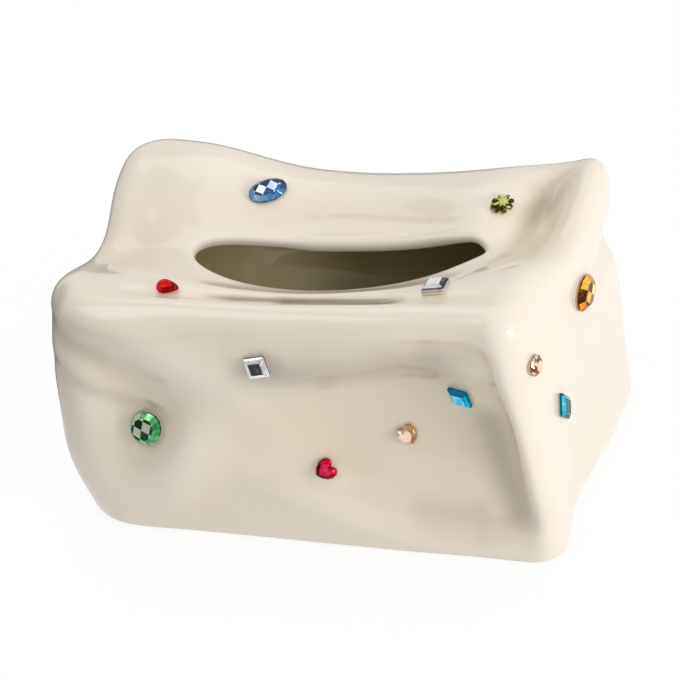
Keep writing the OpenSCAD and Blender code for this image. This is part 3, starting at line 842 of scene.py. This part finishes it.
@dataclass(frozen=True)
class Stone:
    """A cut stone with its mirror foil and its bead of glue.

    A tone says how light a facet is painted, from 0 to 1: painted light, shade and reflections.
    The crown's facets are palest on one side, by the contrast, and darkest on the other.
    """

    name: str
    tint: Tint
    # The side of the crown that the painted light falls on, in degrees to the left of up
    painted_light_side: float = 60.0
    # Painted tones of the flat table, the sloping crown and the upright girdle
    table: float = 0.7
    crown: float = 0.5
    girdle: float = 0.2
    contrast: float = 0.36
    # How much the facets' painted light differs by chance, and the size of the cells that decide
    # it
    spark: float = 0.2
    spark_size: float = 2 * MILLIMETRE
    # Whether it is cut in small squares, and a square's share of the stone's half size
    chequered: bool = False
    cell_share: float = 0.52
    edge_round: float = 0.07 * MILLIMETRE
    # Degrees below which two facets are one, and above which their edge is broken
    flat_angle: float = 0.4
    sharp_angle: float = 4.0
    # How squarely a chequer's facet, the table and the crown face outwards at least
    chequer_lean: float = 0.9
    table_lean: float = 0.995
    crown_lean: float = 0.3
    bead_softness: float = 0.3

    def build(self, nodes: dict[str, bpy.types.Object], acrylic: bpy.types.Material,
              foil: bpy.types.Material, glue: bpy.types.Material) -> list[bpy.types.Object]:
        """Builds the stone and its bead, and gives the foil its finish.

        Args:
            nodes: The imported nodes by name.
            acrylic: The stone's finish.
            foil: The foil's finish.
            glue: The glue's finish.

        Returns:
            The stone, its foil and its bead.
        """
        stone = new_piece(f"cut_{self.name}", self._cut(nodes[f"stone_{self.name}"]), acrylic,
                          smooth=False)
        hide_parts(f"stone_{self.name}")
        bead = new_piece(f"bead_{self.name}", self._bead(nodes[f"glue_{self.name}"]), glue,
                         smooth=True)
        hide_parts(f"glue_{self.name}")
        for piece in (stone, bead):
            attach(piece, BODY)
        back = nodes[f"foil_{self.name}"]
        back.data.materials.clear()
        back.data.materials.append(foil)
        return [stone, back, bead]

    def _cut(self, node: bpy.types.Object) -> bmesh.types.BMesh:
        """Joins the stone's triangles to facets, and just breaks their edges.

        Args:
            node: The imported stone.

        Returns:
            The cut stone, with its facets' tones.
        """
        mesh = welded(node)
        bmesh.ops.dissolve_limit(mesh, angle_limit=math.radians(self.flat_angle),
                                 verts=mesh.verts, edges=mesh.edges)
        limit = math.radians(self.sharp_angle)
        sharp = [edge for edge in mesh.edges if edge.calc_face_angle(0.0) > limit]
        bmesh.ops.bevel(mesh, geom=sharp, offset=self.edge_round, offset_type="OFFSET",
                        segments=1, profile=0.5, affect="EDGES", material=-1,
                        clamp_overlap=True)
        bmesh.ops.recalc_face_normals(mesh, faces=mesh.faces)
        self._mark_tones(mesh)
        return mesh

    def _mark_tones(self, mesh: bmesh.types.BMesh) -> None:
        """Writes each facet's painted light and shade, by where it lies and leans.

        Args:
            mesh: The cut stone.
        """
        layer = mesh.faces.layers.float.new("tone")
        back = max(mesh.faces, key=lambda face: face.calc_area())
        out = -back.normal
        up = (RISE - out * RISE.dot(out)).normalized()
        left = out.cross(up)
        for face in mesh.faces:
            lean = face.normal.dot(out)
            place = face.calc_center_median() - back.calc_center_median()
            spark = self.spark * (noise.cell(place / self.spark_size) - MIDDLE)
            if lean > self.chequer_lean and self.chequered:
                face[layer] = self._chequer(back, place) + spark
            elif lean > self.table_lean:
                face[layer] = self.table
            elif lean > self.crown_lean:
                turn = math.atan2(face.normal.dot(left), face.normal.dot(up))
                away = turn - math.radians(self.painted_light_side)
                face[layer] = self.crown + self.contrast * math.cos(away) + spark
            else:
                face[layer] = self.girdle

    def _chequer(self, back: bmesh.types.BMFace, place: Vector) -> float:
        """The tone of a square facet of a chequer cut: painted pale and dark by turns.

        Args:
            back: The stone's flat back.
            place: The facet's middle, from the middle of the back.

        Returns:
            The facet's tone.
        """
        spokes = [vert.co - back.calc_center_median() for vert in back.verts]
        long = max(spokes, key=lambda spoke: spoke.length)
        wide = (-back.normal).cross(long).normalized()
        half = max(spoke.dot(wide) for spoke in spokes)
        cell = self.cell_share * math.sqrt((long.length ** 2 + half ** 2) / 2)
        along = long.normalized()
        ways = [(along + wide) / math.sqrt(2), (along - wide) / math.sqrt(2)]
        steps = sum(math.floor(place.dot(way) / cell) for way in ways)
        return self.table if steps % 2 == 0 else self.girdle

    def _bead(self, node: bpy.types.Object) -> bmesh.types.BMesh:
        """Gives the glue's bed a soft edge.

        Args:
            node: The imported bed.

        Returns:
            The bead.
        """
        mesh = welded(node)
        bmesh.ops.subdivide_edges(mesh, edges=mesh.edges, cuts=1, use_grid_fill=True)
        bmesh.ops.smooth_vert(mesh, verts=mesh.verts, factor=self.bead_softness,
                              use_axis_x=True, use_axis_y=True, use_axis_z=True)
        bmesh.ops.recalc_face_normals(mesh, faces=mesh.faces)
        return mesh


STONES = (
    # On the top
    Stone("blue_oval", Tint.BLUE, painted_light_side=120, table=0.95, crown=0.45, contrast=0.3,
          chequered=True),
    Stone("red_pear", Tint.RED, table=0.66, crown=0.35, contrast=0.3),
    Stone("olive_flower", Tint.OLIVE, painted_light_side=0, table=0.72, crown=0.6, contrast=0.15,
          spark=1.0),
    Stone("clear_square_top", Tint.CLEAR, table=0.95, crown=0.85, girdle=0.62, contrast=0.1,
          spark=0.6),
    # On the front
    Stone("clear_square_front", Tint.CLEAR, painted_light_side=100, table=0.1, crown=0.85,
          contrast=0.25),
    Stone("green_oval", Tint.GREEN, table=1.0, crown=0.68, girdle=0.1, contrast=0.2,
          chequered=True),
    Stone("red_heart", Tint.CRIMSON, painted_light_side=-60, table=0.68, crown=0.35, contrast=0.3),
    Stone("peach_heart", Tint.PEACH, table=0.74, crown=0.58, contrast=0.24),
    Stone("cyan_rhombus", Tint.CYAN, painted_light_side=150, table=0.74, crown=0.55, contrast=0.28),
    # On the right side
    Stone("peach_round", Tint.PEACH, painted_light_side=20, table=0.6, contrast=0.3, spark=0.7),
    Stone("amber_oval", Tint.AMBER, painted_light_side=90, table=0.9, girdle=0.1, contrast=0.2,
          spark=0.6, chequered=True),
    Stone("teal_rhombus", Tint.TEAL, painted_light_side=110, table=0.12, crown=0.36, contrast=0.2,
          spark=0.6),
    # On the back and the left side
    Stone("violet_oval", Tint.VIOLET, table=0.9, girdle=0.15, contrast=0.3, chequered=True),
    Stone("clear_square_back", Tint.CLEAR, table=0.2, crown=0.8, contrast=0.25),
    Stone("rose_heart", Tint.ROSE),
    Stone("aqua_rhombus", Tint.AQUA, painted_light_side=120, table=0.6, contrast=0.4),
    Stone("amber_round", Tint.AMBER, table=0.6, contrast=0.3, spark=0.7),
)


@dataclass(frozen=True)
class Lamp:
    """A soft box of the studio, with its sizes in metres and its power in watts."""

    name: str
    place: tuple[float, float, float]
    power: float
    aim: tuple[float, float, float] = (0.0, 0.0, 0.07)
    width: float = 0.8
    height: float = 0.8
    # Whether gloss on the object shows the box itself
    mirrored: bool = True

    def build(self) -> bpy.types.Object:
        """Hangs the soft box and turns it to what it lights.

        Returns:
            The lamp.
        """
        data = bpy.data.lights.new(self.name, "AREA")
        data.shape = "RECTANGLE"
        data.size = self.width
        data.size_y = self.height
        data.energy = self.power
        lamp = bpy.data.objects.new(self.name, data)
        lamp.location = self.place
        away = Vector(self.place) - Vector(self.aim)
        lamp.rotation_mode = "QUATERNION"
        lamp.rotation_quaternion = away.to_track_quat("Z", "Y")
        lamp.visible_glossy = self.mirrored
        bpy.context.scene.collection.objects.link(lamp)
        return lamp


@dataclass(frozen=True)
class Viewpoint:
    """The camera, as it stood for the photograph: angles in degrees, lens in millimetres."""

    yaw: float = 26.0
    pitch: float = 35.3
    roll: float = -12.4
    distance: float = 1.1
    aim: tuple[float, float, float] = (0.0046, 0.0004, 0.065)
    lens: float = 120.0
    sensor: float = 36.0
    # How far right of and below the picture's middle the aim lies
    right_pixels: float = 1.5
    down_pixels: float = 3.5

    def build(self) -> bpy.types.Object:
        """Sets up the camera.

        Returns:
            The camera, which is the scene's own.
        """
        yaw, pitch, roll = (math.radians(a) for a in (self.yaw, self.pitch, self.roll))
        level = math.cos(pitch)
        back = Vector((math.sin(yaw) * level, -math.cos(yaw) * level, math.sin(pitch)))
        right = Vector((math.cos(yaw), math.sin(yaw), 0.0))
        up = back.cross(right)
        turned = math.cos(roll) * right + math.sin(roll) * up
        upright = math.cos(roll) * up - math.sin(roll) * right
        data = bpy.data.cameras.new("camera")
        data.lens = self.lens
        data.sensor_width = self.sensor
        data.shift_x = -self.right_pixels / PHOTO_PIXELS
        data.shift_y = self.down_pixels / PHOTO_PIXELS
        camera = bpy.data.objects.new("camera", data)
        turn = Matrix((turned, upright, back)).transposed().to_4x4()
        camera.matrix_world = Matrix.Translation(Vector(self.aim) + back * self.distance) @ turn
        bpy.context.scene.collection.objects.link(camera)
        bpy.context.scene.camera = camera
        return camera


@dataclass(frozen=True)
class Studio:
    """The pale floor, the soft light and the camera."""

    floor_size: float = 14.0
    floor_paint: Paint = Paint(240, 240, 240)
    # Painted shade: to gloss and bounced light the floor is dim on the left, less and less
    # between these x
    dim_paint: Paint = Paint(72, 68, 62)
    dim_side: tuple[float, float] = (-0.35, -0.05)
    dim_share: float = 0.85
    # Painted shade in gloss behind the cover too, left of these x and beyond these y
    behind_side: tuple[float, float] = (-0.06, 0.04)
    behind_depth: tuple[float, float] = (-0.04, 0.03)
    # The cover's foot: its middle, half its sizes without the corners, and their radius
    foot_middle: tuple[float, float, float] = (0.0055, 0.0005, 0.0)
    foot_core: tuple[float, float, float] = (0.076, 0.033, 1.0)
    foot_corner: float = 0.034
    foot_fade: float = 2 * MILLIMETRE
    # How much of the object's shadow the white floor keeps, and how white it is
    shadow_share: float = 0.22
    glow: float = 1.08
    # Light of the room, and what its left, right and back side add or take
    level: float = 0.52
    left: float = 0.12
    right: float = 0.23
    back: float = 0.24
    view: Viewpoint = Viewpoint()
    lamps: tuple[Lamp, ...] = (
        Lamp("key_right", (1.49, -0.48, 0.38), 8.2, width=0.4, height=0.4),
        Lamp("high_left", (-0.85, -0.49, 1.31), 3.2),
        Lamp("high_back", (-0.4, 0.69, 1.44), 1.9),
        Lamp("overhead", (0.0, 0.0, 1.65), 2.0),
        # Stands in for the light that the walls throw on the inside
        Lamp("inner_card", (-0.07, -0.03, 0.02), 0.019, aim=(-0.065, 0.065, 0.06),
             width=0.05, height=0.03, mirrored=False),
    )

    def build(self) -> list[bpy.types.Object]:
        """Builds the studio round the object.

        Returns:
            The floor, the lamps and the camera.
        """
        made = [self._floor()]
        made += [lamp.build() for lamp in self.lamps]
        made.append(self.view.build())
        self._sky()
        bpy.context.scene.view_settings.view_transform = "Standard"
        return made

    def _floor(self) -> bpy.types.Object:
        """Lays a plain pale floor that keeps the object's shadow.

        Returns:
            The floor, which isn't part of the object.
        """
        mesh = bmesh.new()
        bmesh.ops.create_grid(mesh, x_segments=1, y_segments=1, size=self.floor_size / 2)
        floor = new_piece("floor", mesh, self._floor_finish(), smooth=False)
        return floor

    def _floor_finish(self) -> bpy.types.Material:
        """Builds the floor's finish: matt, even white where one looks at it, painted shade on
        its left.

        Returns:
            The material.
        """
        material, bench = new_bench("pale_floor")
        camera, glossy, through = (bench.add("ShaderNodeLightPath", output=f"Is {kind} Ray")
                                   for kind in ("Camera", "Glossy", "Transmission"))
        place = bench.place()
        across, deep = bench.along(place, "X"), bench.along(place, "Y")
        # Painted shade: dim on the left to all but the camera, and behind the cover to gloss
        left = (1 - across.eased(*self.dim_side)) * self.dim_share
        behind = (1 - across.eased(*self.behind_side)) * deep.eased(*self.behind_depth)
        dim = self.dim_paint.linear()
        shade = bench.mix((1 - camera) * left, self.floor_paint.linear(), dim)
        matt = bench.add("ShaderNodeBsdfDiffuse", None, {"Color": shade})
        glow = bench.mix(glossy * left.at_least(behind), WHITE, dim)
        white = bench.add("ShaderNodeEmission", None, {"Color": glow, "Strength": self.glow})
        seen = camera.at_least(glossy).at_least(through) * self._open_floor(bench, place)
        share = seen * (1 - self.shadow_share)
        bench.finish(bench.add("ShaderNodeMixShader", None, {0: share, 1: matt, 2: white}))
        return material

    def _open_floor(self, bench: NodeBench, place: Wire) -> Wire:
        """Tells the open floor from what the cover's foot shuts in.

        Args:
            bench: The floor's nodes.
            place: The floor's own coordinates.

        Returns:
            1 on the open floor and 0 inside the foot.
        """
        aside = bench.vector("SUBTRACT", place, self.foot_middle)
        aside = bench.vector("SUBTRACT", bench.vector("ABSOLUTE", aside), self.foot_core)
        away = bench.vector("LENGTH", bench.vector("MAXIMUM", aside), output="Value")
        return away.eased(self.foot_corner, self.foot_corner + self.foot_fade)

    def _sky(self) -> None:
        """Lights a room that is a little brighter on the right and at the back."""
        world = bpy.data.worlds.new("studio")
        world.use_nodes = True
        bench = NodeBench(world.node_tree)
        way = bench.add("ShaderNodeTexCoord", output="Generated")
        side, depth = bench.along(way, "X"), bench.along(way, "Y")
        strength = (self.level + self.right * side.at_least(0.0) + self.left * side.at_most(0.0)
                    + self.back * depth.at_least(0.0))
        light = bench.add("ShaderNodeBackground", None, {"Color": WHITE, "Strength": strength})
        bench.finish(light, "ShaderNodeOutputWorld")
        bpy.context.scene.world = world


def main() -> None:
    """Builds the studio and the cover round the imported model."""
    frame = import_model()
    logging.basicConfig(level=logging.INFO, format="%(message)s")
    for made in Studio().build():
        LOG.info("studio: %s", made.name)
    shell = CoverShell().build(frame["nodes"])
    LOG.info("shell: %s, %d faces", shell.name, len(shell.data.polygons))
    glue = Glue().material()
    acrylics = {tint: tint.value.material() for tint in Tint}
    foils = {tint: Foil(tint.value.body, tint.value.deep).material() for tint in Tint}
    for stone in STONES:
        for piece in stone.build(frame["nodes"], acrylics[stone.tint], foils[stone.tint], glue):
            LOG.info("stone: %s, %d faces", piece.name, len(piece.data.polygons))


if __name__ == "__main__":
    main()
